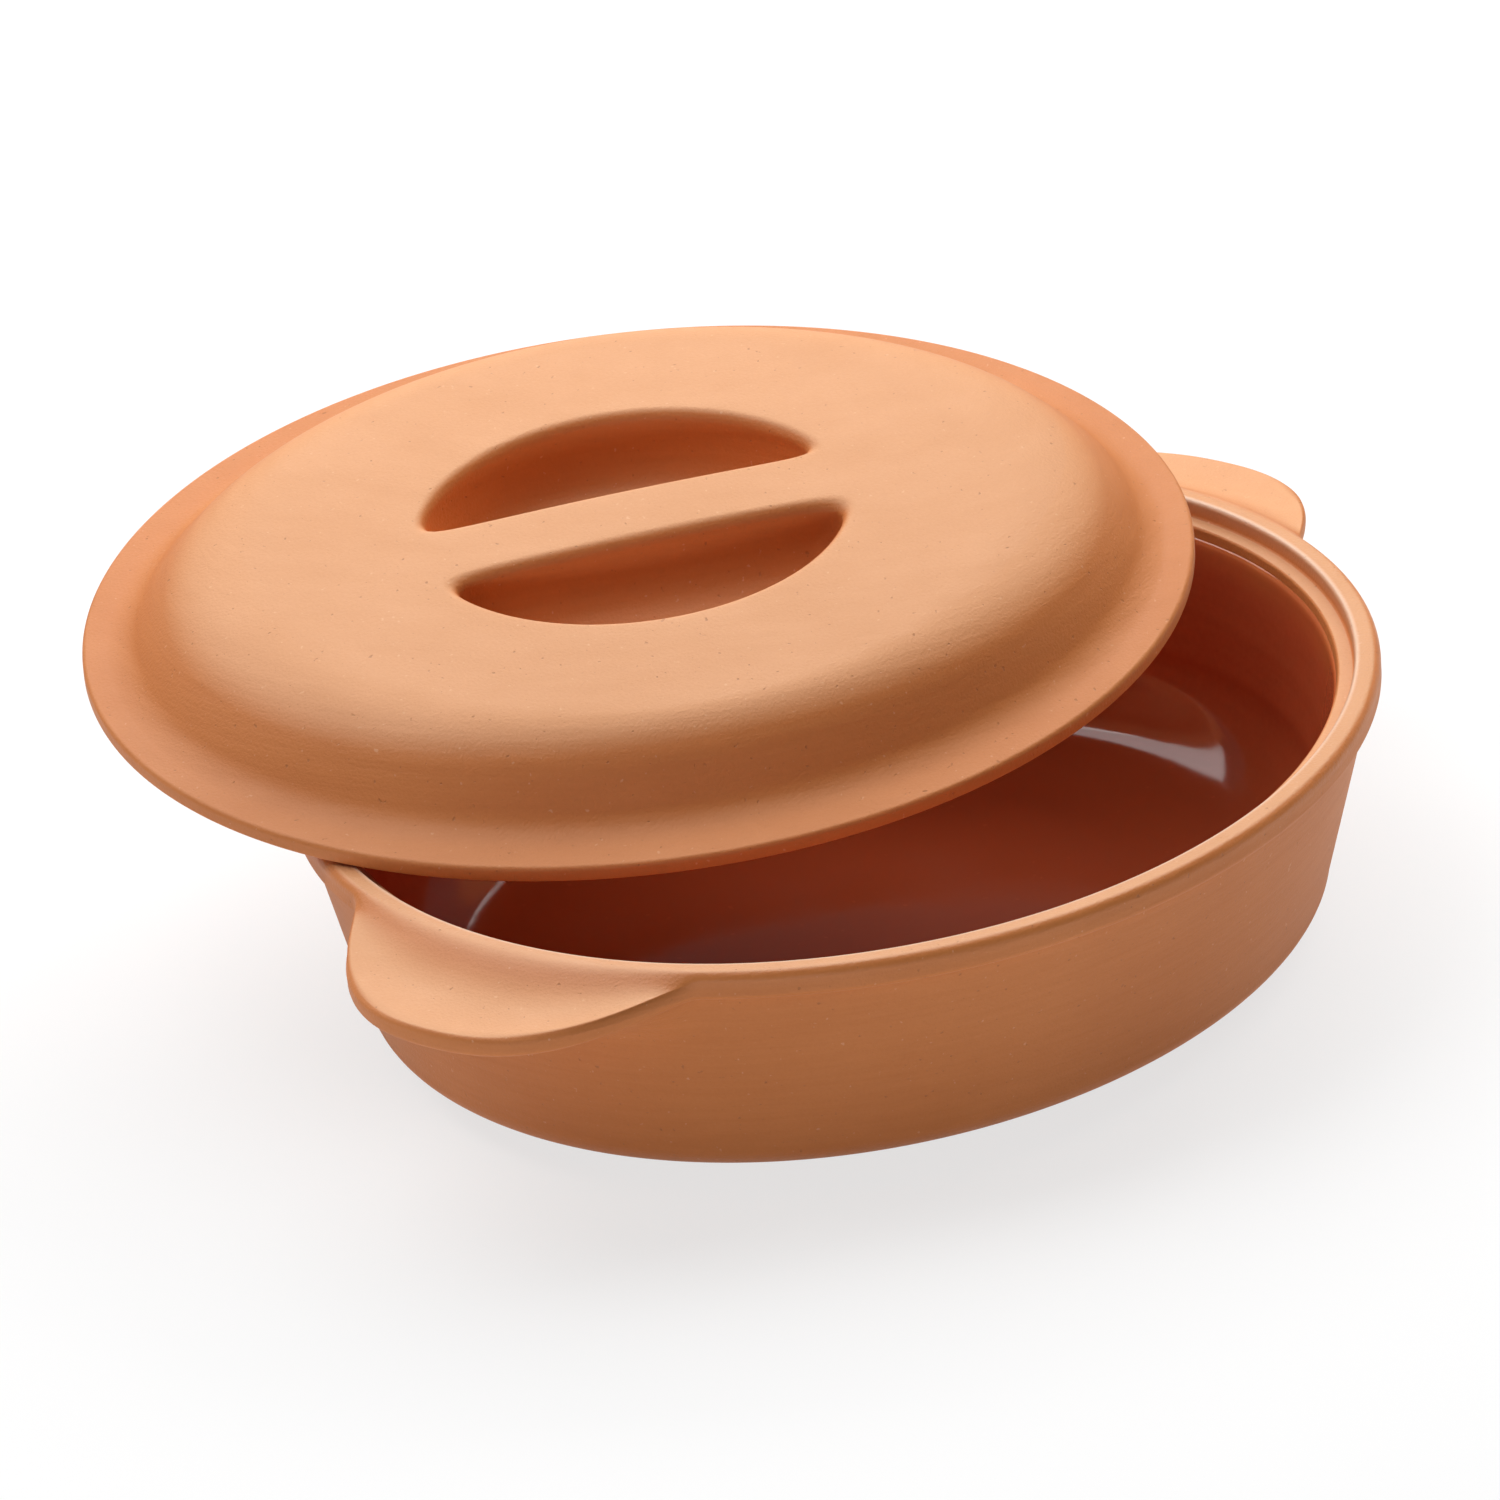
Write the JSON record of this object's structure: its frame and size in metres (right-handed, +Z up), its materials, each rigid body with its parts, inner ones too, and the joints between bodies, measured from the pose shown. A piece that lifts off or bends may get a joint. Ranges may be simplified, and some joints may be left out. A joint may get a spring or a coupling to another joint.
{
  "type": "clay roaster",
  "caption": "Oval unglazed clay roasting dish with crescent lugs, a glazed inside and a domed lift-off lid whose grip bar lies between sunken finger recesses.",
  "frame": {"origin": "middle of the flat foot of the dish", "axes": "+X along the long axis of the dish from lug to lug, +Z up out of the dish"},
  "size_m": [0.399, 0.3461, 0.1344],
  "materials": {
    "bare_clay": "unglazed, matte, finely grained",
    "brown_glaze": "clear high gloss over red-brown clay"
  },
  "bodies": {
    "dish": {"dish": "bare_clay", "dish_glaze": "brown_glaze"},
    "lid": {"lid": "bare_clay"}
  },
  "joints": [
    {"name": "lid_lift", "type": "slide", "parent": "dish", "child": "lid", "axis": [0, 0, 1], "range_m": [0, 0.15]}
  ]
}
